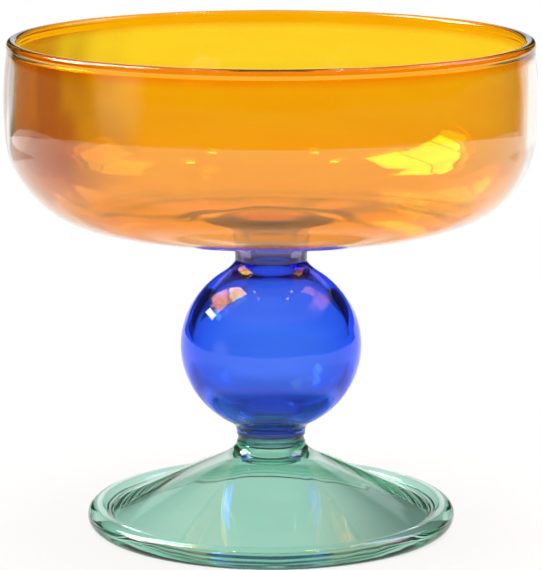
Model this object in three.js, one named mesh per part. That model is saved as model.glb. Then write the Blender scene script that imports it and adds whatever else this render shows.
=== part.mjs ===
// Footed dessert bowl of coloured blown glass: an amber bowl and a hollow teal foot, held apart by a
// hollow cobalt ball, with a bead of fused glass where the ball meets each of them.
// Millimetres, +Z up, standing on z = 0 with its axis on Z.
import * as THREE from 'three';

// Foot: a low hollow cone whose edge is rolled into a thick round bead, ground flat below.
const FOOT_RADIUS = 39.1; // outside of the rolled edge
const FOOT_HEIGHT = 17.9; // table to the flat that the lower weld sits on
const FOOT_TILT_DEG = 25.7; // slope of the cone above the table
const FOOT_WALL = 1.9;
const FOOT_SHOULDER = 4.4; // stretch of cone taken up by the curve below the neck
const FOOT_BEAD = 2.35; // radius of the rolled edge
const FOOT_SINK = 1.0; // how far the cone's wall runs below the middle of the rolled edge
const FOOT_CREASE = 0.9; // radius where the cone runs into the rolled edge
const REST_DEPTH = 0.15; // how far the rolled edge is ground away to stand level
const STEM_END_RADIUS = 6.2; // outside of the stem's closed end, which shows inside the foot
const STEM_END_DROP = 4.7; // neck's end to the underside of that closed end
const STEM_END_FLOOR = 1.0; // glass that closes it

// Lower weld: a short hollow waist of fused glass.
const LOWER_NECK_RADIUS = 7.3; // ball, weld and foot share it
const LOWER_BORE = 5.2; // radius of the hole through all three
const LOWER_WELD_HEIGHT = 1.7;
const LOWER_WELD_WAIST = 0.3; // how far the weld is drawn in at the middle

// Ball: hollow and a little flattened, with a short neck above and below.
const BALL_RADIUS = 19.15;
const BALL_HALF_HEIGHT = 18.4;
const BALL_WALL = 2.6;
const BALL_DROP = 19.0; // centre to the end of the lower neck
const BALL_RISE = 18.7; // centre to the end of the upper neck
const LOWER_FLARE = 1.5; // how far from the lower neck the ball's curve ends
const UPPER_FLARE = 3.0; // how far from the upper neck it ends
const UPPER_BORE = 4.3; // radius of the hole through the upper neck
const BORE_FLARE = 1.5; // how far from either hole the hollow's curve ends

// Upper weld: a flared hollow collar under the bowl, whose hole goes on from the ball's upper neck.
const UPPER_NECK_RADIUS = 7.6; // ball and weld share it
const UPPER_WELD_HEIGHT = 8.6;
const BOWL_SEAT_RADIUS = 11.0; // weld and bowl share it
const BOWL_SEAT_BORE = 8.0; // radius of the hole where the bowl's floor closes it

// Bowl: a straight-sided cup with a slight belly, a large corner and a floor pushed up at the weld.
const BOWL_RADIUS = 55.6; // outside of the belly
const BOWL_HEIGHT = 38.5; // underside of the floor to the top of the rim
const BELLY_HEIGHT = 24.7; // underside of the floor to the widest point
const BELLY_CURVE = 85.0; // radius of the wall's bulge, seen from the side
const BOWL_CORNER = 20.0; // radius between wall and floor
const BOWL_WALL = 1.8;
const BOWL_FLOOR_WALL = 0.8; // the wall thins to this round the corner
const RIM_BEAD = 1.2; // radius of the fire-polished rim
const FLOOR_PUSH = 0.6; // how far the weld lifts the floor's underside
const FLOOR_PUSH_RADIUS = 22.0; // where that lift begins
const FLOOR_CROWN = 1.8; // glass above the weld

// Glass: colour and how much of it shows.
const TEAL = { color: 0x8ccab6, opacity: 0.6 };
const DARK_TEAL = { color: 0x1c3f5c, opacity: 0.8 };
const COBALT = { color: 0x2f57f5, opacity: 0.75 };
const VIOLET_GREY = { color: 0x55508a, opacity: 0.7 };
const AMBER = { color: 0xff9f0a, opacity: 0.65 };
const GLASS_ROUGHNESS = 0.04;

// Facets
const ROUND_STEPS = 48; // round the axis
const CURVE_STEPS = 5; // in each free curve of an outline
const FACET_SAG = 0.07; // most that a facet cuts inside an arc of an outline
const SAME_POINT = 1e-6; // points of an outline this close are one

// Heights that follow from the sizes.
const LOWER_WELD_TOP = FOOT_HEIGHT + LOWER_WELD_HEIGHT;
const BALL_CENTRE = LOWER_WELD_TOP + BALL_DROP;
const BALL_TOP = BALL_CENTRE + BALL_RISE;
const BOWL_SEAT = BALL_TOP + UPPER_WELD_HEIGHT;
const BOWL_FLOOR = BOWL_SEAT - FLOOR_PUSH;

// A point of an outline: its distance from the axis and its height.
const at = (radius, height) => new THREE.Vector2(radius, height);

// The point at a distance from a start, along a direction.
const along = (start, direction, distance) => start.clone().addScaledVector(direction, distance);

// How many facets an arc takes.
const facets = (radius, angle) => Math.ceil(angle / (2 * Math.acos(1 - FACET_SAG / radius)));

// A circular arc about a centre, from a start to an end, turning left or right.
function arc(centre, start, end, turn) {
  const from = start.clone().sub(centre);
  const to = end.clone().sub(centre);
  const right = turn === 'right';
  const opening = right ? from.angle() - to.angle() : to.angle() - from.angle();
  const swept = THREE.MathUtils.euclideanModulo(opening, 2 * Math.PI);
  const reach = from.length();
  const curve = new THREE.EllipseCurve(centre.x, centre.y, reach, reach, from.angle(), to.angle(), right);
  return curve.getPoints(facets(reach, swept));
}

// A curve that leaves a start towards a corner and reaches an end from that corner.
function bend(start, corner, end) {
  return new THREE.QuadraticBezierCurve(start, corner, end).getPoints(CURVE_STEPS);
}

// A step that is level at both of its ends.
function levelStep(start, end) {
  const middle = (start.x + end.x) / 2;
  const curve = new THREE.CubicBezierCurve(start, at(middle, start.y), at(middle, end.y), end);
  return curve.getPoints(CURVE_STEPS);
}

// The lower of the two points where a large circle crosses a small one beside it on its right.
function lowerCrossing(centre, radius, small, smallRadius) {
  const apart = small.clone().sub(centre);
  const span = apart.length();
  const reach = (radius ** 2 - smallRadius ** 2 + span ** 2) / (2 * span);
  const aside = Math.sqrt(radius ** 2 - reach ** 2);
  const forward = apart.normalize();
  return along(along(centre, forward, reach), at(forward.y, -forward.x), aside);
}

// Turns an outline about Z into a named piece of glass.
function turned(name, outline, { color, opacity }) {
  const points = outline.filter((p, i) => i === 0 || p.distanceTo(outline[i - 1]) > SAME_POINT);
  const geometry = new THREE.LatheGeometry(points, ROUND_STEPS);
  geometry.rotateX(Math.PI / 2);
  const material = new THREE.MeshStandardMaterial({
    color, opacity, transparent: true, roughness: GLASS_ROUGHNESS, metalness: 0,
  });
  const mesh = new THREE.Mesh(geometry, material);
  mesh.name = name;
  return mesh;
}

// Both faces of the cone's wall blend into the rolled edge, and the stem's end hangs inside the cone.
function footOutline() {
  const tilt = THREE.MathUtils.degToRad(FOOT_TILT_DEG);
  const uphill = at(-Math.cos(tilt), Math.sin(tilt));
  const outward = at(Math.sin(tilt), Math.cos(tilt));
  const edge = at(FOOT_RADIUS - FOOT_BEAD, FOOT_BEAD - REST_DEPTH);
  const restHalf = Math.sqrt(FOOT_BEAD ** 2 - edge.y ** 2);

  // One face of the wall at its offset from the edge's middle, and its blend on the given side.
  const face = (offset, side) => {
    const start = along(edge, outward, offset);
    const aside = side * offset + FOOT_CREASE;
    const end = along(start, uphill, Math.sqrt((FOOT_BEAD + FOOT_CREASE) ** 2 - aside ** 2));
    const blend = along(end, outward, side * FOOT_CREASE);
    const onEdge = along(edge, blend.clone().sub(edge).normalize(), FOOT_BEAD);
    const atRadius = (radius) => along(start, uphill, (radius - start.x) / uphill.x);
    return { end, blend, onEdge, atRadius };
  };
  const outside = face(FOOT_WALL / 2 - FOOT_SINK, 1);
  const inside = face(-FOOT_WALL / 2 - FOOT_SINK, -1);

  const stemEnd = FOOT_HEIGHT - STEM_END_DROP;
  const neckFloor = stemEnd + STEM_END_FLOOR;
  const neckCorner = outside.atRadius(LOWER_NECK_RADIUS);
  const shoulder = along(neckCorner, uphill, -FOOT_SHOULDER);

  return [
    at(0, stemEnd),
    at(STEM_END_RADIUS, stemEnd),
    inside.atRadius(STEM_END_RADIUS),
    ...arc(inside.blend, inside.end, inside.onEdge, 'right'),
    ...arc(edge, inside.onEdge, at(edge.x - restHalf, 0), 'left'),
    ...arc(edge, at(edge.x + restHalf, 0), outside.onEdge, 'left'),
    ...arc(outside.blend, outside.onEdge, outside.end, 'right'),
    ...bend(shoulder, neckCorner, at(LOWER_NECK_RADIUS, FOOT_HEIGHT)),
    at(LOWER_BORE, FOOT_HEIGHT),
    at(LOWER_BORE, neckFloor),
    at(0, neckFloor),
  ];
}

// The curve reaches half way to its corner, so the corner lies twice as deep as the waist.
function lowerWeldOutline() {
  const bottom = at(LOWER_NECK_RADIUS, FOOT_HEIGHT);
  const top = at(LOWER_NECK_RADIUS, LOWER_WELD_TOP);
  const corner = at(LOWER_NECK_RADIUS - 2 * LOWER_WELD_WAIST, (bottom.y + top.y) / 2);
  const hole = at(LOWER_BORE, bottom.y);
  return [hole, ...bend(bottom, corner, top), at(LOWER_BORE, top.y), hole.clone()];
}

// A quarter of the ball's outer or inner face, from its widest point along an ellipse and round into
// a neck. The way is 1 to go up and -1 to go down.
function ballQuarter(across, high, neckRadius, flare, neckEnd, way) {
  const leave = Math.acos((neckRadius + flare) / across);
  const ellipse = new THREE.EllipseCurve(0, BALL_CENTRE, across, high, 0, way * leave, way < 0);
  const start = ellipse.getPoint(1);
  const climb = (flare * high) / (across * Math.tan(leave));
  const corner = at(neckRadius, start.y + way * climb);
  return [...ellipse.getPoints(facets(across, leave)), ...bend(start, corner, at(neckRadius, neckEnd))];
}

function ballOutline() {
  const outer = [BALL_RADIUS, BALL_HALF_HEIGHT];
  const inner = [BALL_RADIUS - BALL_WALL, BALL_HALF_HEIGHT - BALL_WALL];
  const outerBelow = ballQuarter(...outer, LOWER_NECK_RADIUS, LOWER_FLARE, LOWER_WELD_TOP, -1);
  const outerAbove = ballQuarter(...outer, UPPER_NECK_RADIUS, UPPER_FLARE, BALL_TOP, 1);
  const innerAbove = ballQuarter(...inner, UPPER_BORE, BORE_FLARE, BALL_TOP, 1);
  const innerBelow = ballQuarter(...inner, LOWER_BORE, BORE_FLARE, LOWER_WELD_TOP, -1);
  const outline = [...outerBelow.reverse(), ...outerAbove, ...innerAbove.reverse(), ...innerBelow];
  return [...outline, outline[0].clone()];
}

function upperWeldOutline() {
  const neck = at(UPPER_NECK_RADIUS, BALL_TOP);
  const seat = at(BOWL_SEAT_RADIUS, BOWL_SEAT);
  const hole = at(UPPER_BORE, BALL_TOP);
  const holeEnd = at(BOWL_SEAT_BORE, BOWL_SEAT);
  const middle = (BALL_TOP + BOWL_SEAT) / 2;
  const outside = bend(neck, at(neck.x, middle), seat);
  const inside = bend(hole, at(hole.x, middle), holeEnd);
  return [...outside, ...inside.reverse(), neck.clone()];
}

// Both faces of the wall bulge about one centre, and each turns its own corner into the floor.
function bowlOutline() {
  const bulge = at(BOWL_RADIUS - BELLY_CURVE, BOWL_FLOOR + BELLY_HEIGHT);
  const rimHeight = BOWL_FLOOR + BOWL_HEIGHT - RIM_BEAD;
  const middleCurve = BELLY_CURVE - BOWL_WALL / 2;
  const rim = at(bulge.x + Math.sqrt(middleCurve ** 2 - (rimHeight - bulge.y) ** 2), rimHeight);
  const rimTop = at(rim.x, rim.y + RIM_BEAD);

  // The outer or inner face, from the floor round the corner and up the wall to the rim.
  const face = (wall, floorWall) => {
    const curve = BELLY_CURVE - wall;
    const turn = BOWL_CORNER - wall;
    const cornerDrop = BELLY_HEIGHT - floorWall - turn;
    const cornerReach = Math.sqrt((curve - turn) ** 2 - cornerDrop ** 2);
    const corner = at(bulge.x + cornerReach, bulge.y - cornerDrop);
    const floorEnd = at(corner.x, BOWL_FLOOR + floorWall);
    const wallEnd = along(bulge, corner.clone().sub(bulge).normalize(), curve);
    const widest = at(bulge.x + curve, bulge.y);
    const rimEnd = lowerCrossing(bulge, curve, rim, RIM_BEAD);
    return [
      ...arc(corner, floorEnd, wallEnd, 'left'),
      ...arc(bulge, wallEnd, widest, 'left'),
      ...arc(bulge, widest, rimEnd, 'left'),
    ];
  };
  const outside = face(0, 0);
  const inside = face(BOWL_WALL, BOWL_FLOOR_WALL).reverse();
  const floor = inside[inside.length - 1].y;
  return [
    at(0, BOWL_SEAT),
    ...levelStep(at(BOWL_SEAT_RADIUS, BOWL_SEAT), at(FLOOR_PUSH_RADIUS, BOWL_FLOOR)),
    ...outside,
    ...arc(rim, outside[outside.length - 1], rimTop, 'left'),
    ...arc(rim, rimTop, inside[0], 'left'),
    ...inside,
    ...levelStep(at(FLOOR_PUSH_RADIUS, floor), at(0, BOWL_SEAT + FLOOR_CROWN)),
  ];
}

const dessertBowl = new THREE.Group();
dessertBowl.add(
  turned('foot', footOutline(), TEAL),
  turned('foot_weld', lowerWeldOutline(), DARK_TEAL),
  turned('ball_stem', ballOutline(), COBALT),
  turned('bowl_weld', upperWeldOutline(), VIOLET_GREY),
  turned('bowl', bowlOutline(), AMBER),
);

export default dessertBowl;
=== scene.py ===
import math

import bpy
from bpy.props import FloatProperty, FloatVectorProperty, PointerProperty
from bpy.types import Operator, Panel, PropertyGroup
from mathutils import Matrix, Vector


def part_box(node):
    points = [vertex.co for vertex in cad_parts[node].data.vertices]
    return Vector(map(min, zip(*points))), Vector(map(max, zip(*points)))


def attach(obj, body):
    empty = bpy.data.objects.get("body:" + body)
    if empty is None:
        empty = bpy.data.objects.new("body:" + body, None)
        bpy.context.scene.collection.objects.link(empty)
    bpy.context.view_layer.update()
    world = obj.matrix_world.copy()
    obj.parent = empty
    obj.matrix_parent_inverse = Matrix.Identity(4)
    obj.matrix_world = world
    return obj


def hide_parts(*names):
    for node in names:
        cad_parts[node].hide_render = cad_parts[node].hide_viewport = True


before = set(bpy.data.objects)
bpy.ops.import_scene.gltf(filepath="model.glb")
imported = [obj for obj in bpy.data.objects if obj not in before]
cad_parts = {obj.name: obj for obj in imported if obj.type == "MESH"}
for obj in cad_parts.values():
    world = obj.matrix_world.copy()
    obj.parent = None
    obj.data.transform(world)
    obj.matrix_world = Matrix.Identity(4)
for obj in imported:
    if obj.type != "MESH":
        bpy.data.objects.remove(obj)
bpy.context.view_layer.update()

bl_info = {
    "name": "Footed Dessert Bowl",
    "version": (1, 0, 0),
    "blender": (4, 5, 0),
    "location": "3D View > Sidebar > Dessert Bowl",
    "description": "Blows an amber bowl on a cobalt ball and a teal foot, on a white table",
    "category": "Object",
}

MM = 0.001

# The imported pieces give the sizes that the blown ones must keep.
FOOT_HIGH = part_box("foot")[1]
FOOT_WELD_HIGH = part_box("foot_weld")[1]
BALL_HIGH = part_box("ball_stem")[1]
BOWL_WELD_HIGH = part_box("bowl_weld")[1]
BOWL_LOW, BOWL_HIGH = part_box("bowl")

# How finely the glass is turned.
ROUND_STEPS = 192
CURVE_STEPS = 14
FACET_SAG = 0.004 * MM
SAME_POINT = 0.0005 * MM
SHARP_EDGE = math.radians(50)

# A weld reaches this far into the glass on either side, and stands back this far in there.
FUSE_DEPTH = 0.35 * MM
FUSE_INSET = 0.05 * MM

# How often the worked surface wanders: the bowl's more slowly than the foot's and the ball's.
FINE_RIPPLE = 9 * MM
BROAD_RIPPLE = 16 * MM

# Where one colour of a piece goes over into the next: where that begins and where it is done.
TURNED_TO = (-0.1, 0.1)
# Below and above the ball's middle.
LOWER_NECK_DARK = (9 * MM, 14 * MM)
UPPER_NECK_DARK = (11 * MM, 16 * MM)
UPPER_NECK_SHARE = 0.6
# Above the ball's upper end.
COLLAR_PALE = (1.2 * MM, 3 * MM)
COLLAR_DARK = (5.4 * MM, 6.6 * MM)
COLLAR_SHARE = 0.75
# Above the underside of the bowl's floor, and in bead radii below the rim's top.
FLOOR_COLOUR = (5 * MM, 26 * MM)
RIM_COLOUR = (3.0, 2.1)

# How worked glass looks from close by.
GLASS_IOR = 1.47
STREAK_SCALE = (60.0, 60.0, 260.0)
STREAK_DETAIL = 3.0
STREAK_EDGES = (0.3, 0.7)
STREAK_PALER = 1.08
GRAIN_SCALE = 900.0
GRAIN_DETAIL = 2.0
GRAIN_HEIGHT = 0.15
WAVE_STRENGTH = 0.06
WAVE_DEPTH = 0.05 * MM
POLISH = 0.012
POLISH_GRAIN = 0.02

# Zones of the table, in metres from its middle, or in square metres for a squared distance.
TABLE_CORNERS = 128
# Where the painted shade under the foot and round it under the bowl goes over.
FOOT_SHADE = (4 * MM, 30 * MM)
BOWL_SHADE_START = (0.045, 0.06)
BOWL_SHADE_END = (0.10, 0.15)
BOWL_SHADE_DEPTH = (0.05 ** 2, 0.08 ** 2)
FAR_TABLE = (0.12, 0.4)
NEAR_WHITE = 0.88

# Zones of the room, by the direction in which they lie: to the right, away from the camera and up.
HORIZON = (-0.02, 0.02)
BEHIND_WAY = (0.14, 0.99)
BEHIND = (0.76, 0.84)
SHEET_WIDENS = 0.5
SHEET_SIDE = (0.02, 0.05)
SHEET_TOP = (0.40, 0.50)
SHEET_FRONT = (0.0, 0.2)
SHEET_MIRRORED = (0.08 ** 2, 0.15 ** 2)
WALL_LEFT = (-0.37, -0.34)
WALL_RIGHT = (-0.12, -0.05)
WALL_FRONT = (0.7, 0.8)
GLOW_WAY = (-0.92, -0.38)
GLOW = (0.96, 0.998)
CEILING_EDGE = (0.5, 0.75)

# Lamps and camera.
OVERHEAD_PLACE = (0, 0.1, 1.3)
OVERHEAD_SIZE = 1.2
OVERHEAD_WATTS = 24.0
SPOT_SIZE = 0.07
SPOT_WATTS = 0.4
SENSOR_WIDTH = 36.0
NEAREST_SEEN = 0.01
GLASS_BOUNCES = 32
MIRROR_BOUNCES = 16


def length(name, text, value):
    """A size of a piece, in metres."""
    return FloatProperty(
        name=name, description=text, default=value, min=0.0, unit="LENGTH", subtype="DISTANCE"
    )


def tint(name, text, value):
    """A colour that a user may change."""
    return FloatVectorProperty(
        name=name, description=text, default=value, size=3, min=0.0, max=1.0, subtype="COLOR"
    )


def amount(name, text, value, most=10000.0):
    """A plain number that a user may change."""
    return FloatProperty(name=name, description=text, default=value, min=0.0, max=most)


def angle(name, text, degrees):
    """An angle that a user may change."""
    return FloatProperty(
        name=name, description=text, default=math.radians(degrees), unit="ROTATION", subtype="ANGLE"
    )


class FootSizes(PropertyGroup):
    """Hollow cone with a rolled edge."""

    radius: length("Radius", "Axis to the outside of the rolled edge", FOOT_HIGH.x)
    height: length("Height", "Table to the flat under the lower weld", FOOT_HIGH.z)
    tilt: angle("Tilt", "Slope of the cone above the table", 25.7)
    wall: length("Wall", "Thickness of the cone", 1.9 * MM)
    shoulder: length("Shoulder", "Stretch of cone taken up by the curve below the neck", 4.4 * MM)
    bead: length("Bead", "Radius of the rolled edge", 2.35 * MM)
    sink: length("Sink", "How far the cone's wall runs below the edge's middle", 1.0 * MM)
    crease: length("Crease", "Radius where the cone runs into the rolled edge", 0.9 * MM)
    rest: length("Ground Flat", "How far the rolled edge is ground away to stand level", 0.15 * MM)
    end_radius: length("Stem End Radius", "Outside of the stem's closed end in the foot", 6.2 * MM)
    end_drop: length("Stem End Drop", "Neck's end to the underside of that closed end", 4.7 * MM)
    end_floor: length("Stem End Floor", "Glass that closes it", 1.0 * MM)
    end_round: length("Stem End Round", "Radius of its edges", 0.5 * MM)


class StemSizes(PropertyGroup):
    """Hollow ball with its two necks, and the welds at their ends."""

    lower_neck: length(
        "Lower Neck", "Radius shared by the ball, the lower weld and the foot", FOOT_WELD_HIGH.x
    )
    lower_end: length("Lower End", "Table to the end of the ball's lower neck", FOOT_WELD_HIGH.z)
    waist: length("Waist", "How far the lower weld is drawn in", 0.3 * MM)
    radius: length("Ball Radius", "Axis to the outside of the ball", BALL_HIGH.x)
    half_height: length("Ball Half Height", "Ball's middle to its top, without the neck", 18.4 * MM)
    drop: length("Ball Drop", "Middle of the ball to the end of its lower neck", 19.0 * MM)
    upper_end: length("Upper End", "Table to the end of the ball's upper neck", BALL_HIGH.z)
    wall: length("Ball Wall", "Thickness of the ball", 2.6 * MM)
    lower_flare: length("Lower Flare", "Where the ball's curve ends, off the lower neck", 1.5 * MM)
    upper_flare: length("Upper Flare", "Where the ball's curve ends, off the upper neck", 3.0 * MM)
    lower_bore: length("Lower Bore", "Radius of the hole through the lower neck and weld", 5.2 * MM)
    upper_bore: length("Upper Bore", "Radius of the hole through the upper neck", 4.3 * MM)
    bore_flare: length("Bore Flare", "Where the hollow's curve ends, off either hole", 1.5 * MM)
    upper_neck: length("Upper Neck", "Radius shared by the ball and the upper weld", 7.6 * MM)
    seat_bore: length("Seat Bore", "Radius of the hole under the bowl", 8.0 * MM)
    seat: length("Seat Radius", "Radius shared by the upper weld and the bowl", BOWL_WELD_HIGH.x)
    seat_height: length(
        "Seat Height", "Table to the underside of the bowl at the weld", BOWL_WELD_HIGH.z
    )


class BowlSizes(PropertyGroup):
    """Straight-sided cup with a slight belly."""

    radius: length("Radius", "Axis to the outside of the belly", BOWL_HIGH.x)
    floor: length("Floor Height", "Table to the underside of the floor", BOWL_LOW.z)
    top: length("Top", "Table to the top of the rim", BOWL_HIGH.z)
    belly: length("Belly Height", "Underside of the floor to the widest point", 24.7 * MM)
    belly_curve: length("Belly Curve", "Radius of the wall's bulge, seen from the side", 85.0 * MM)
    corner: length("Corner", "Radius between wall and floor", 20.0 * MM)
    wall: length("Wall", "Thickness of the wall", 1.8 * MM)
    floor_wall: length("Floor Wall", "Thickness to which the wall thins round the corner", 0.8 * MM)
    rim_bead: length("Rim Bead", "Radius of the fire-polished rim", 1.2 * MM)
    rim_blend: length("Rim Blend", "Radius where the wall runs into the rim", 3.0 * MM)
    push_radius: length("Push Radius", "Where the weld begins to lift the floor", 22.0 * MM)
    floor_crown: length("Floor Crown", "Glass above the weld", 1.8 * MM)


class GlassColours(PropertyGroup):
    """What each glass takes out of the light, and the colours of its lining."""

    amber_body: tint("Amber Body", "Light that the bowl's wall keeps", (0.998, 0.97, 0.86))
    amber_depth: amount("Amber Depth", "How strongly the bowl's wall colours the light", 150.0)
    amber_lining: tint(
        "Amber Lining", "Colour on the inside of the bowl's wall and on its rim", (1.0, 0.645, 0.02)
    )
    amber_floor: tint("Amber Floor", "Colour on the inside of the bowl's floor", (1.0, 0.56, 0.02))
    cobalt_body: tint("Cobalt Body", "Light that the ball's wall keeps", (0.007, 0.427, 0.993))
    cobalt_depth: amount("Cobalt Depth", "How strongly the ball's wall colours the light", 600.0)
    cobalt_lining: tint("Cobalt Lining", "Colour on the inside of the ball", (0.97, 0.97, 1.0))
    cobalt_neck: tint(
        "Cobalt Neck", "Colour on the inside of the ball near its necks", (0.38, 0.25, 0.52)
    )
    teal_body: tint("Teal Body", "Light that the foot's wall keeps", (0.15, 0.73, 0.52))
    teal_depth: amount("Teal Depth", "How strongly the foot's wall colours the light", 60.0)
    teal_lining: tint("Teal Lining", "Colour on the inside of the foot", (0.62, 0.84, 0.76))
    violet_body: tint("Violet Body", "Light that the upper weld keeps", (0.75, 0.70, 0.85))
    violet_depth: amount("Violet Depth", "How strongly the upper weld colours the light", 120.0)
    violet_lining: tint(
        "Violet Lining", "Colour on the upper weld where it meets the ball and the bowl",
        (0.48, 0.44, 0.65),
    )
    violet_top: tint("Violet Top", "Colour on the upper weld between its ends", (1.0, 0.95, 0.85))
    dark_body: tint("Dark Teal Body", "Light that the lower weld keeps", (0.06, 0.40, 0.45))
    dark_depth: amount("Dark Teal Depth", "How strongly the lower weld colours the light", 600.0)
    ripple: length("Ripple", "How far the worked glass wanders from true", 0.10 * MM)


class StageSettings(PropertyGroup):
    """White table, dim room, windows and camera."""

    table: tint("Table", "Colour of the table", (0.90, 0.90, 0.90))
    table_radius: length("Table Radius", "Size of the table", 0.52)
    # Painted teal light and painted shade on the table, under and round the foot, as the glass
    # shows them.
    foot_light: tint(
        "Light Under Foot", "Light that the foot lets through to the table", (0.62, 0.82, 0.74)
    )
    foot_shade: tint(
        "Shade Under Foot", "The same on the side away from the windows", (0.29, 0.38, 0.36)
    )
    bowl_shade: tint(
        "Shade Round Foot", "Light on the table under the bowl, as the glass shows it",
        (0.6, 0.57, 0.54),
    )
    room: tint("Room", "Dim room above the table", (0.06, 0.045, 0.035))
    lower_room: tint(
        "Lower Room", "Room below the table's height, as the glass shows it", (0.22, 0.20, 0.18)
    )
    ceiling: tint("Ceiling", "Warm ceiling of the room", (0.55, 0.40, 0.34))
    dresser: tint("Wooden Wall", "Brown wall behind the table's left side", (0.50, 0.27, 0.18))
    camera_place: FloatVectorProperty(
        name="Camera Place", description="Where the camera stands", default=(0.0, -0.6495, 0.1778),
        size=3, unit="LENGTH", subtype="TRANSLATION",
    )
    camera_pitch: angle("Camera Pitch", "How far the camera looks down", 11.012)
    lens: amount("Lens", "Focal length of the camera in millimetres", 198.46)


class DessertBowl(PropertyGroup):
    """Everything that can be changed about the bowl."""

    foot: PointerProperty(name="Foot", description="Sizes of the foot", type=FootSizes)
    stem: PointerProperty(name="Stem", description="Sizes of ball and welds", type=StemSizes)
    bowl: PointerProperty(name="Bowl", description="Sizes of the bowl", type=BowlSizes)
    glass: PointerProperty(name="Glass", description="Colours of the glass", type=GlassColours)
    stage: PointerProperty(name="Stage", description="Table, room and camera", type=StageSettings)


def at(radius, height):
    """A point of an outline: its distance from the axis and its height."""
    return Vector((radius, height))


def facets(radius, swept):
    """How many facets an arc takes."""
    return max(2, math.ceil(swept / (2 * math.acos(1 - FACET_SAG / radius))))


def arc(centre, start, end, way):
    """A circular arc about a centre, to the left with way 1 and to the right with way -1."""
    first, last = start - centre, end - centre
    begin = math.atan2(first.y, first.x)
    swept = (way * (math.atan2(last.y, last.x) - begin)) % math.tau
    steps = facets(first.length, swept)
    turns = [begin + way * swept * i / steps for i in range(steps + 1)]
    return [centre + first.length * at(math.cos(t), math.sin(t)) for t in turns]


def bend(start, corner, end):
    """A curve that leaves a start towards a corner and reaches an end from that corner."""
    parts = [i / CURVE_STEPS for i in range(CURVE_STEPS + 1)]
    return [(1 - t) ** 2 * start + 2 * t * (1 - t) * corner + t ** 2 * end for t in parts]


def level_step(start, end):
    """A step that is level at both of its ends."""
    near, far = at((start.x + end.x) / 2, start.y), at((start.x + end.x) / 2, end.y)
    parts = [i / CURVE_STEPS for i in range(CURVE_STEPS + 1)]
    return [
        (1 - t) ** 3 * start + 3 * t * (1 - t) ** 2 * near
        + 3 * t ** 2 * (1 - t) * far + t ** 3 * end
        for t in parts
    ]


def lower_crossing(centre, radius, small, small_radius):
    """The lower of the two points where a large circle crosses a small one on its right."""
    apart = small - centre
    span = apart.length
    reach = (radius ** 2 - small_radius ** 2 + span ** 2) / (2 * span)
    aside = math.sqrt(radius ** 2 - reach ** 2)
    forward = apart.normalized()
    return centre + reach * forward + aside * at(forward.y, -forward.x)


def foot_outline(size, neck, bore):
    """Both faces of the wall blend into the rolled edge, and the stem's end hangs inside."""
    uphill = at(-math.cos(size.tilt), math.sin(size.tilt))
    outward = at(math.sin(size.tilt), math.cos(size.tilt))
    edge = at(size.radius - size.bead, size.bead - size.rest)
    rest_half = math.sqrt(size.bead ** 2 - edge.y ** 2)

    def face(offset, side):
        """One face of the wall: start, end, blend into the edge and where that blend ends."""
        start = edge + offset * outward
        aside = side * offset + size.crease
        end = start + math.sqrt((size.bead + size.crease) ** 2 - aside ** 2) * uphill
        blend = end + side * size.crease * outward
        return start, end, blend, edge + size.bead * (blend - edge).normalized()

    outside, outside_end, outside_blend, edge_top = face(size.wall / 2 - size.sink, 1)
    inside, inside_end, inside_blend, edge_under = face(-size.wall / 2 - size.sink, -1)
    neck_corner = outside + ((neck - outside.x) / uphill.x) * uphill
    shoulder = neck_corner - size.shoulder * uphill
    stem_end = at(size.end_radius, size.height - size.end_drop)
    stem_floor = at(bore, stem_end.y + size.end_floor)
    stem_meet = inside + ((stem_end.x - inside.x) / uphill.x) * uphill
    inward, upward = at(-size.end_round, 0), at(0, size.end_round)
    return [
        at(0, stem_end.y),
        *bend(stem_end + inward, stem_end, stem_end + upward),
        *bend(stem_meet - upward, stem_meet, stem_meet - size.end_round * uphill),
        *arc(inside_blend, inside_end, edge_under, -1),
        *arc(edge, edge_under, at(edge.x - rest_half, 0), 1),
        *arc(edge, at(edge.x + rest_half, 0), edge_top, 1),
        *arc(outside_blend, edge_top, outside_end, -1),
        *bend(shoulder, neck_corner, at(neck, size.height)),
        at(bore, size.height),
        *bend(stem_floor + upward, stem_floor, stem_floor + inward),
        at(0, stem_floor.y),
    ]


def foot_weld_outline(size, bottom):
    """A hollow waist between two ends that sit inside the foot and the ball."""
    low, high = at(size.lower_neck, bottom), at(size.lower_neck, size.lower_end)
    corner = at(size.lower_neck - 2 * size.waist, (low.y + high.y) / 2)
    inner, outer = size.lower_bore + FUSE_INSET, size.lower_neck - FUSE_INSET
    outline = [
        at(inner, low.y - FUSE_DEPTH), at(outer, low.y - FUSE_DEPTH),
        *bend(low, corner, high),
        at(outer, high.y + FUSE_DEPTH), at(inner, high.y + FUSE_DEPTH),
        at(size.lower_bore, high.y), at(size.lower_bore, low.y),
    ]
    return [*outline, outline[0]]


def ball_half(centre, across, high, neck, flare, neck_end, way):
    """Half of the ball's outer or inner face, up into a neck with way 1 and down with way -1."""
    leave = math.acos((neck + flare) / across)
    steps = facets(across, leave)
    turns = [way * leave * i / steps for i in range(steps + 1)]
    round_part = [at(across * math.cos(t), centre + high * math.sin(t)) for t in turns]
    start = round_part[-1]
    climb = flare * high / (across * math.tan(leave))
    return [*round_part, *bend(start, at(neck, start.y + way * climb), at(neck, neck_end))]


def ball_outline(size):
    """The outer face up from the lower neck, then the inner face back down to it."""
    centre = size.lower_end + size.drop
    outer = size.radius, size.half_height
    inner = size.radius - size.wall, size.half_height - size.wall
    outer_low = ball_half(centre, *outer, size.lower_neck, size.lower_flare, size.lower_end, -1)
    outer_high = ball_half(centre, *outer, size.upper_neck, size.upper_flare, size.upper_end, 1)
    inner_high = ball_half(centre, *inner, size.upper_bore, size.bore_flare, size.upper_end, 1)
    inner_low = ball_half(centre, *inner, size.lower_bore, size.bore_flare, size.lower_end, -1)
    outline = [*reversed(outer_low), *outer_high, *reversed(inner_high), *inner_low]
    return [*outline, outline[0]]


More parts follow.
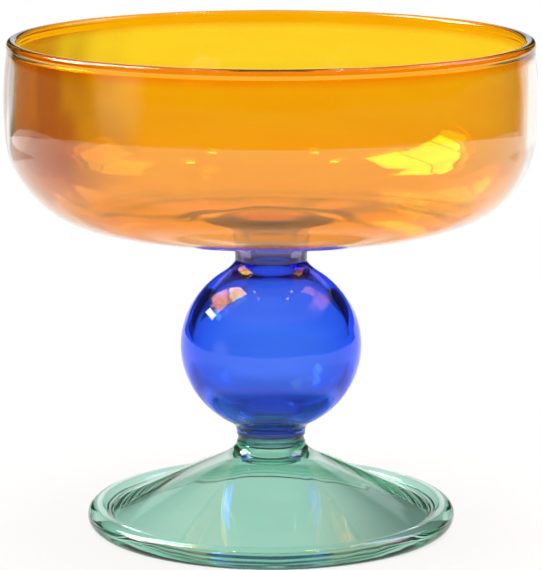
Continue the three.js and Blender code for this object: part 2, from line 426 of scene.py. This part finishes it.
def bowl_weld_outline(size):
    """A flared hollow collar between two ends that sit inside the ball and the bowl."""
    neck, seat = at(size.upper_neck, size.upper_end), at(size.seat, size.seat_height)
    middle = (neck.y + seat.y) / 2
    hole_low, hole_high = at(size.upper_bore, neck.y), at(size.seat_bore, seat.y)
    outline = [
        hole_low + at(FUSE_INSET, -FUSE_DEPTH), neck - at(FUSE_INSET, FUSE_DEPTH),
        *bend(neck, at(neck.x, middle), seat),
        seat + at(-FUSE_INSET, FUSE_DEPTH), hole_high + at(FUSE_INSET, FUSE_DEPTH),
        *bend(hole_high, at(hole_low.x, middle), hole_low),
    ]
    return [*outline, outline[0]]


def bowl_outline(size, seat, seat_height):
    """Both faces of the wall bulge about one centre and turn their own corner into the floor."""
    bulge = at(size.radius - size.belly_curve, size.floor + size.belly)
    rim_height = size.top - size.rim_bead
    middle_curve = size.belly_curve - size.wall / 2
    rim = at(bulge.x + math.sqrt(middle_curve ** 2 - (rim_height - bulge.y) ** 2), rim_height)
    rim_top = at(rim.x, rim.y + size.rim_bead)

    def face(wall, floor_wall, side):
        """The outer or inner face from the floor up, and where it meets the rim's bead."""
        curve, turn = size.belly_curve - wall, size.corner - wall
        corner_drop = size.belly - floor_wall - turn
        corner_reach = math.sqrt((curve - turn) ** 2 - corner_drop ** 2)
        corner = at(bulge.x + corner_reach, bulge.y - corner_drop)
        wall_end = bulge + curve * (corner - bulge).normalized()
        widest = at(bulge.x + curve, bulge.y)
        blend = lower_crossing(
            bulge, curve + side * size.rim_blend, rim, size.rim_bead + size.rim_blend
        )
        below_rim = bulge + curve * (blend - bulge).normalized()
        on_bead = rim + size.rim_bead * (blend - rim).normalized()
        points = [
            *arc(corner, at(corner.x, size.floor + floor_wall), wall_end, 1),
            *arc(bulge, wall_end, widest, 1),
            *arc(bulge, widest, below_rim, 1),
            *arc(blend, below_rim, on_bead, -side),
        ]
        return points, on_bead

    outside, outer_bead = face(0.0, 0.0, 1)
    inside, inner_bead = face(size.wall, size.floor_wall, -1)
    inside.reverse()
    return [
        at(0, seat_height),
        *level_step(at(seat, seat_height), at(size.push_radius, size.floor)),
        *outside,
        *arc(rim, outer_bead, rim_top, 1),
        *arc(rim, rim_top, inner_bead, 1),
        *inside,
        *level_step(at(size.push_radius, inside[-1].y), at(0, seat_height + size.floor_crown)),
    ]


def turn_on_axis(name, outline):
    """Draws an outline point by point and spins it about the upright axis into a closed piece."""
    points = [outline[0]]
    points += [p for p, before in zip(outline[1:], outline) if (p - before).length > SAME_POINT]
    bpy.ops.object.select_all(action="DESELECT")
    bpy.ops.mesh.primitive_plane_add(size=MM, location=(0, 0, 0), enter_editmode=True)
    bpy.ops.mesh.select_mode(type="VERT")
    bpy.ops.mesh.select_all(action="SELECT")
    bpy.ops.mesh.merge(type="CENTER")
    bpy.ops.transform.translate(value=(points[0].x, 0, points[0].y))
    for before, point in zip(points, points[1:]):
        step = point - before
        bpy.ops.mesh.extrude_vertices_move(TRANSFORM_OT_translate={"value": (step.x, 0, step.y)})
    bpy.ops.mesh.select_all(action="SELECT")
    bpy.ops.mesh.spin(steps=ROUND_STEPS, angle=math.tau, center=(0, 0, 0), axis=(0, 0, 1))
    bpy.ops.mesh.select_all(action="SELECT")
    bpy.ops.mesh.remove_doubles(threshold=SAME_POINT)
    bpy.ops.mesh.normals_make_consistent(inside=False)
    bpy.ops.object.mode_set(mode="OBJECT")
    piece = bpy.context.object
    piece.name = piece.data.name = name
    return piece


def ripple(piece, depth, grain):
    """Sinks the surface here and there, as hand-worked glass wanders from true."""
    cloud = bpy.data.textures.new(piece.name + "_ripple", "CLOUDS")
    cloud.noise_scale = grain
    cloud.noise_depth = 1
    sink = piece.modifiers.new("Ripple", "DISPLACE")
    sink.texture = cloud
    sink.texture_coords = "LOCAL"
    sink.mid_level = 1.0
    sink.strength = depth
    bpy.ops.object.modifier_apply(modifier=sink.name)
    bpy.data.textures.remove(cloud)


def ramp(value, low, high):
    """Goes from 0 to 1 as a value goes from low to high."""
    return min(1.0, max(0.0, (value - low) / (high - low)))


def faces(vertex, eye):
    """Goes from 0 to 1 as the surface at a vertex turns towards a point."""
    return ramp((Vector(eye) - vertex.co).normalized().dot(vertex.normal), *TURNED_TO)


def mark(piece, name, rule):
    """Writes down on each vertex how much of a colour it takes."""
    marks = piece.data.attributes.new(name, "FLOAT", "POINT")
    for vertex, place in zip(piece.data.vertices, marks.data):
        place.value = rule(vertex)


def finish_piece(piece, node, material):
    """Smooths a piece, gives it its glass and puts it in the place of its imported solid."""
    bpy.ops.object.shade_smooth_by_angle(angle=SHARP_EDGE)
    piece.data.materials.clear()
    piece.data.materials.append(material)
    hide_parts(node)
    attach(piece, "root")


class Wire:
    """A socket's value that takes part in sums: each sum adds the Math node that it stands for."""

    def __init__(self, finish, socket):
        self.finish, self.socket = finish, socket

    def _sum(self, operation, first, second):
        return self.finish.add("ShaderNodeMath", {"operation": operation}, {0: first, 1: second})

    def __add__(self, other):
        return self._sum("ADD", self, other)

    def __radd__(self, other):
        return self._sum("ADD", other, self)

    def __sub__(self, other):
        return self._sum("SUBTRACT", self, other)

    def __rsub__(self, other):
        return self._sum("SUBTRACT", other, self)

    def __mul__(self, other):
        return self._sum("MULTIPLY", self, other)

    def __rmul__(self, other):
        return self._sum("MULTIPLY", other, self)


class Finish:
    """The nodes of one material or world."""

    def __init__(self, owner):
        owner.use_nodes = True
        self.tree = owner.node_tree
        self.tree.nodes.clear()

    def add(self, kind, settings=None, values=None, out=0):
        """Adds a node, sets it up, feeds its sockets and returns one of its outputs."""
        node = self.tree.nodes.new(kind)
        for name, value in (settings or {}).items():
            setattr(node, name, value)
        for key, value in (values or {}).items():
            if isinstance(value, Wire):
                self.tree.links.new(value.socket, node.inputs[key])
            else:
                node.inputs[key].default_value = value
        return Wire(self, node.outputs[out]) if len(node.outputs) else None

    def smooth(self, value, low, high):
        """Goes smoothly from 0 to 1 as a value goes from low to high."""
        return self.add(
            "ShaderNodeMapRange", {"interpolation_type": "SMOOTHSTEP"},
            {"Value": value, "From Min": low, "From Max": high},
        )

    def mixed(self, share, first, second):
        """A colour between two others."""
        return self.add(
            "ShaderNodeMix", {"data_type": "RGBA"}, {0: share, 6: first, 7: second}, out=2
        )


def opaque(colour):
    """A colour with full alpha, as sockets take it."""
    return (*colour, 1.0)


WHITE = (1.0, 1.0, 1.0)
CLEAR = opaque(WHITE)


def lined_colour(finish, streak, lining, band):
    """Clear, or the lining's colour where the piece is lined, or the band's where it has one."""
    on_lining, on_band = [
        finish.add("ShaderNodeAttribute", {"attribute_name": name}, out="Fac")
        for name in ("lining", "band")
    ]
    # A face tints what crosses it by the square root of its colour, so the colour is squared.
    thick, thin = [
        finish.mixed(
            on_band, *[opaque(min(1.0, c * c * paler) for c in colour) for colour in (lining, band)]
        )
        for paler in (1.0, STREAK_PALER)
    ]
    streaks = finish.smooth(streak, *STREAK_EDGES)
    return finish.mixed(on_lining, CLEAR, finish.mixed(streaks, thin, thick))


def blown_glass(name, body, depth, lining=None, band=None):
    """Glass that colours the light on its way through, with a tinted lining and a band in it."""
    material = bpy.data.materials.new(name)
    finish = Finish(material)
    place = finish.add("ShaderNodeTexCoord", out="Object")
    drawn = finish.add(
        "ShaderNodeMapping", {"vector_type": "POINT"}, {"Vector": place, "Scale": STREAK_SCALE}
    )
    streak = finish.add(
        "ShaderNodeTexNoise", {}, {"Vector": drawn, "Scale": 1.0, "Detail": STREAK_DETAIL}
    )
    grain = finish.add(
        "ShaderNodeTexNoise", {}, {"Vector": place, "Scale": GRAIN_SCALE, "Detail": GRAIN_DETAIL}
    )
    colour = CLEAR if lining is None else lined_colour(finish, streak, lining, band)
    worked = streak + GRAIN_HEIGHT * grain
    wave = finish.add(
        "ShaderNodeBump", {},
        {"Strength": WAVE_STRENGTH, "Distance": WAVE_DEPTH, "Height": worked},
    )
    shader = finish.add(
        "ShaderNodeBsdfPrincipled", {},
        {
            "Base Color": colour, "Roughness": POLISH + POLISH_GRAIN * grain, "IOR": GLASS_IOR,
            "Transmission Weight": 1.0, "Normal": wave,
        },
    )
    body_shader = finish.add(
        "ShaderNodeVolumeAbsorption", {}, {"Color": opaque(body), "Density": depth}
    )
    finish.add("ShaderNodeOutputMaterial", {}, {"Surface": shader, "Volume": body_shader})
    return material


def settings():
    """The sizes and colours of this scene's bowl."""
    return bpy.context.scene.dessert_bowl


class DESSERT_OT_foot(Operator):
    """Blow the hollow foot and roll its edge"""

    bl_idname = "dessert.foot"
    bl_label = "Teal Foot"
    bl_options = {"REGISTER", "UNDO"}

    def execute(self, context):
        made = settings()
        outline = foot_outline(made.foot, made.stem.lower_neck, made.stem.lower_bore)
        piece = turn_on_axis("teal_foot", outline)
        ripple(piece, made.glass.ripple, FINE_RIPPLE)
        mark(piece, "lining", lambda vertex: faces(vertex, (0, 0, 0)))
        tints = made.glass
        glass = blown_glass(
            "teal_blown_glass", tints.teal_body, tints.teal_depth,
            tints.teal_lining, tints.teal_lining,
        )
        finish_piece(piece, "foot", glass)
        return {"FINISHED"}


class DESSERT_OT_ball(Operator):
    """Blow the hollow ball and its two necks"""

    bl_idname = "dessert.ball"
    bl_label = "Cobalt Ball"
    bl_options = {"REGISTER", "UNDO"}

    def execute(self, context):
        made = settings()
        piece = turn_on_axis("cobalt_ball", ball_outline(made.stem))
        ripple(piece, made.glass.ripple, FINE_RIPPLE)
        middle = made.stem.lower_end + made.stem.drop
        mark(piece, "lining", lambda vertex: faces(vertex, (0, 0, middle)))

        def necked(vertex):
            """The glass deepens towards both necks, more so towards the lower one."""
            height = vertex.co.z - middle
            upper = UPPER_NECK_SHARE * ramp(height, *UPPER_NECK_DARK)
            return max(ramp(-height, *LOWER_NECK_DARK), upper)

        mark(piece, "band", necked)
        tints = made.glass
        glass = blown_glass(
            "cobalt_blown_glass", tints.cobalt_body, tints.cobalt_depth,
            tints.cobalt_lining, tints.cobalt_neck,
        )
        finish_piece(piece, "ball_stem", glass)
        return {"FINISHED"}


class DESSERT_OT_welds(Operator):
    """Fuse the waist under the ball and the collar above it"""

    bl_idname = "dessert.welds"
    bl_label = "Welds"
    bl_options = {"REGISTER", "UNDO"}

    def execute(self, context):
        made = settings()
        stem, glass = made.stem, made.glass
        waist = turn_on_axis("foot_waist", foot_weld_outline(stem, made.foot.height))
        dark = blown_glass("dark_teal_fused_glass", glass.dark_body, glass.dark_depth)
        finish_piece(waist, "foot_weld", dark)
        collar = turn_on_axis("bowl_collar", bowl_weld_outline(stem))
        mark(collar, "lining", lambda vertex: 1.0)

        def paler(vertex):
            """The colour is strong at both ends of the collar and weak between them."""
            height = vertex.co.z - stem.upper_end
            return ramp(height, *COLLAR_PALE) * (1 - COLLAR_SHARE * ramp(height, *COLLAR_DARK))

        mark(collar, "band", paler)
        violet = blown_glass(
            "violet_grey_fused_glass", glass.violet_body, glass.violet_depth,
            glass.violet_lining, glass.violet_top,
        )
        finish_piece(collar, "bowl_weld", violet)
        return {"FINISHED"}


class DESSERT_OT_bowl(Operator):
    """Blow the bowl, polish its rim and push up its floor"""

    bl_idname = "dessert.bowl"
    bl_label = "Amber Bowl"
    bl_options = {"REGISTER", "UNDO"}

    def execute(self, context):
        made = settings()
        outline = bowl_outline(made.bowl, made.stem.seat, made.stem.seat_height)
        piece = turn_on_axis("amber_bowl", outline)
        ripple(piece, made.glass.ripple, BROAD_RIPPLE)
        top, floor = made.bowl.top, made.bowl.floor
        rim_colour = [top - beads * made.bowl.rim_bead for beads in RIM_COLOUR]

        def lined(vertex):
            """The inside and the whole rim carry the colour."""
            return max(faces(vertex, (0, 0, top)), ramp(vertex.co.z, *rim_colour))

        mark(piece, "lining", lined)
        mark(piece, "band", lambda vertex: 1 - ramp(vertex.co.z - floor, *FLOOR_COLOUR))
        tints = made.glass
        glass = blown_glass(
            "amber_blown_glass", tints.amber_body, tints.amber_depth,
            tints.amber_lining, tints.amber_floor,
        )
        finish_piece(piece, "bowl", glass)
        return {"FINISHED"}


def seen_rays(finish):
    """Whether a ray comes straight from the camera, off a mirroring face or through glass."""
    rays = ("Is Camera Ray", "Is Glossy Ray", "Is Transmission Ray")
    camera, glossy, through = [finish.add("ShaderNodeLightPath", out=ray) for ray in rays]
    return camera, glossy * (1 - through), through


def table_finish(stage, foot):
    """White table that shows as white to the eye and in the glass, but for painted light and shade
    under and round the foot; it still takes a shadow.
    """
    material = bpy.data.materials.new("white_table")
    finish = Finish(material)
    camera, mirrored, through = seen_rays(finish)
    lit = finish.add(
        "ShaderNodeBsdfPrincipled", {},
        {"Base Color": opaque(stage.table), "Roughness": 0.9, "Specular IOR Level": 0.0},
    )
    place = finish.add("ShaderNodeTexCoord", out="Object")
    reach = finish.add("ShaderNodeVectorMath", {"operation": "LENGTH"}, {0: place}, out="Value")
    across, depth = [
        finish.add("ShaderNodeSeparateXYZ", {}, {0: place}, out=axis) for axis in "XY"
    ]
    # Painted teal light under the foot, going over into painted shade on the side away from the
    # windows.
    under = 1 - finish.smooth(reach, foot.radius - 2 * foot.bead, foot.radius)
    away = finish.smooth(across, *FOOT_SHADE)
    shade = finish.mixed(away, opaque(stage.foot_light), opaque(stage.foot_shade))
    # Painted shade round the foot, under the bowl, seen only in mirroring faces and through glass.
    beside = finish.smooth(reach, *BOWL_SHADE_START) * (1 - finish.smooth(reach, *BOWL_SHADE_END))
    beside = beside * (1 - finish.smooth(depth * depth, *BOWL_SHADE_DEPTH))
    colour = finish.mixed(beside * (mirrored + through), CLEAR, opaque(stage.bowl_shade))
    colour = finish.mixed(under, colour, shade)
    white = finish.add("ShaderNodeEmission", {}, {"Color": colour, "Strength": 1.0})
    plain = NEAR_WHITE + (1 - NEAR_WHITE) * finish.smooth(reach, *FAR_TABLE)
    share = plain * (camera + mirrored) + through
    surface = finish.add("ShaderNodeMixShader", {}, {0: share, 1: lit, 2: white})
    finish.add("ShaderNodeOutputMaterial", {}, {"Surface": surface})
    return material


def room_finish(stage):
    """White behind the table, with a piece of brown wall in it, and a dim room elsewhere."""
    world = bpy.data.worlds.new("white_studio")
    finish = Finish(world)
    toward = finish.add("ShaderNodeTexCoord", out="Generated")
    across, depth, height = [
        finish.add("ShaderNodeSeparateXYZ", {}, {0: toward}, out=axis) for axis in "XYZ"
    ]

    def part(way, zone):
        """A part of the room that lies in a level direction."""
        return finish.smooth(way[0] * across + way[1] * depth, *zone)

    low = 1 - finish.smooth(height, *HORIZON)
    behind = part(BEHIND_WAY, BEHIND) * low
    sheet = 1 - finish.smooth(across * across - SHEET_WIDENS * height, *SHEET_SIDE)
    sheet = sheet * (1 - finish.smooth(height, *SHEET_TOP))
    sheet = sheet * (1 - low) * finish.smooth(depth, *SHEET_FRONT)
    # The foot's flanks mirror only the middle of the white sheet behind the table.
    narrow = sheet * (1 - finish.smooth(across * across, *SHEET_MIRRORED))
    wooden = finish.smooth(across, *WALL_LEFT) * (1 - finish.smooth(across, *WALL_RIGHT))
    wooden = wooden * finish.smooth(depth, *WALL_FRONT) * low
    glow = part(GLOW_WAY, GLOW)

    camera, mirrored, through = seen_rays(finish)
    white = camera + mirrored * (behind + narrow + glow)
    white = white + through * ((1 - wooden) * behind + sheet)
    upward = finish.smooth(height, *CEILING_EDGE)
    colour = finish.mixed(upward, opaque(stage.room), opaque(stage.ceiling))
    colour = finish.mixed(low * through, colour, opaque(stage.lower_room))
    colour = finish.mixed(wooden * through, colour, opaque(stage.dresser))
    colour = finish.mixed(white, colour, CLEAR)
    sky = finish.add("ShaderNodeBackground", {}, {"Color": colour, "Strength": 1.0})
    finish.add("ShaderNodeOutputWorld", {}, {"Surface": sky})
    return world


DUSK = (0.80, 0.60, 1.0)
# Panes of the windows at either side: name, place, width, height, level and colour.
WINDOW_PANES = (
    ("left_upper_pane", (-1.2, 0.42, 2.05), 0.88, 1.04, 18.0, WHITE),
    ("left_middle_pane", (-1.2, 0.50, 1.17), 0.88, 0.66, 15.0, WHITE),
    ("left_lower_pane", (-1.2, 0.31, 0.71), 0.46, 0.20, 18.0, WHITE),
    ("right_upper_pane", (1.2, 0.70, 1.85), 0.55, 0.88, 6.0, DUSK),
    ("right_lower_pane", (1.2, 0.50, 1.08), 0.80, 0.60, 4.5, DUSK),
)
# Small round lamps under the ceiling, by their places.
CEILING_SPOTS = (
    (-0.40, 0.10, 1.5), (-0.36, -0.32, 1.5), (0.51, 0.17, 1.5),
    (0.27, 0.57, 1.5), (0.47, -0.28, 1.5),
)


def lamp(name, place, target, width, height, watts, colour=WHITE):
    """A rectangular lamp that faces a point."""
    facing = (Vector(target) - Vector(place)).to_track_quat("-Z", "Y").to_euler()
    bpy.ops.object.select_all(action="DESELECT")
    bpy.ops.object.light_add(type="AREA", location=place, rotation=facing)
    made = bpy.context.object
    made.name = made.data.name = name
    made.data.shape = "RECTANGLE"
    made.data.size, made.data.size_y = width, height
    made.data.energy = watts
    made.data.color = colour
    made.visible_camera = False
    return made


class DESSERT_OT_stage(Operator):
    """Set the table, the room, the lamps and the camera"""

    bl_idname = "dessert.stage"
    bl_label = "Stage"
    bl_options = {"REGISTER", "UNDO"}

    def execute(self, context):
        stage = settings().stage
        scene = context.scene
        bpy.ops.object.select_all(action="DESELECT")
        bpy.ops.mesh.primitive_circle_add(
            vertices=TABLE_CORNERS, radius=stage.table_radius, fill_type="NGON", location=(0, 0, 0)
        )
        table = context.object
        table.name = table.data.name = "white_table"
        table.data.materials.append(table_finish(stage, settings().foot))
        scene.world = room_finish(stage)

        middle = (0, 0, 0)
        overhead = lamp(
            "overhead", OVERHEAD_PLACE, middle, OVERHEAD_SIZE, OVERHEAD_SIZE, OVERHEAD_WATTS
        )
        overhead.visible_glossy = overhead.visible_transmission = False
        for name, place, width, height, level, colour in WINDOW_PANES:
            inward = (0, place[1], place[2])
            watts = level * math.pi * width * height
            pane = lamp(name, place, inward, width, height, watts, colour)
            pane.visible_diffuse = False
        for number, place in enumerate(CEILING_SPOTS):
            spot = lamp(f"ceiling_spot_{number}", place, middle, SPOT_SIZE, SPOT_SIZE, SPOT_WATTS)
            spot.data.shape = "ELLIPSE"
            spot.visible_diffuse = False

        bpy.ops.object.select_all(action="DESELECT")
        bpy.ops.object.camera_add(
            location=stage.camera_place, rotation=(math.pi / 2 - stage.camera_pitch, 0, 0)
        )
        camera = context.object
        camera.name = camera.data.name = "camera"
        camera.data.sensor_width = SENSOR_WIDTH
        camera.data.lens = stage.lens
        camera.data.clip_start = NEAREST_SEEN
        scene.camera = camera

        scene.view_settings.view_transform = "Standard"
        scene.cycles.max_bounces = scene.cycles.transmission_bounces = GLASS_BOUNCES
        scene.cycles.glossy_bounces = MIRROR_BOUNCES
        return {"FINISHED"}


class DESSERT_PT_panel(Panel):
    """Sizes, colours and steps of the dessert bowl"""

    bl_idname = "DESSERT_PT_panel"
    bl_label = "Dessert Bowl"
    bl_space_type = "VIEW_3D"
    bl_region_type = "UI"
    bl_category = "Dessert Bowl"

    def draw(self, context):
        made = settings()
        for title, group in (
            ("Foot", made.foot), ("Stem", made.stem), ("Bowl", made.bowl),
            ("Glass", made.glass), ("Stage", made.stage),
        ):
            box = self.layout.box()
            box.label(text=title)
            for name in group.__annotations__:
                box.prop(group, name)
        for step in STEPS:
            self.layout.operator(step.bl_idname)


STEPS = (DESSERT_OT_foot, DESSERT_OT_ball, DESSERT_OT_welds, DESSERT_OT_bowl, DESSERT_OT_stage)
CLASSES = (
    FootSizes, StemSizes, BowlSizes, GlassColours, StageSettings, DessertBowl,
    *STEPS, DESSERT_PT_panel,
)


def register():
    for kind in CLASSES:
        bpy.utils.register_class(kind)
    bpy.types.Scene.dessert_bowl = PointerProperty(type=DessertBowl)


def unregister():
    del bpy.types.Scene.dessert_bowl
    for kind in reversed(CLASSES):
        bpy.utils.unregister_class(kind)


def main():
    """Makes the bowl step by step."""
    register()
    bpy.ops.dessert.foot()
    bpy.ops.dessert.ball()
    bpy.ops.dessert.welds()
    bpy.ops.dessert.bowl()
    bpy.ops.dessert.stage()


if __name__ == "__main__":
    main()
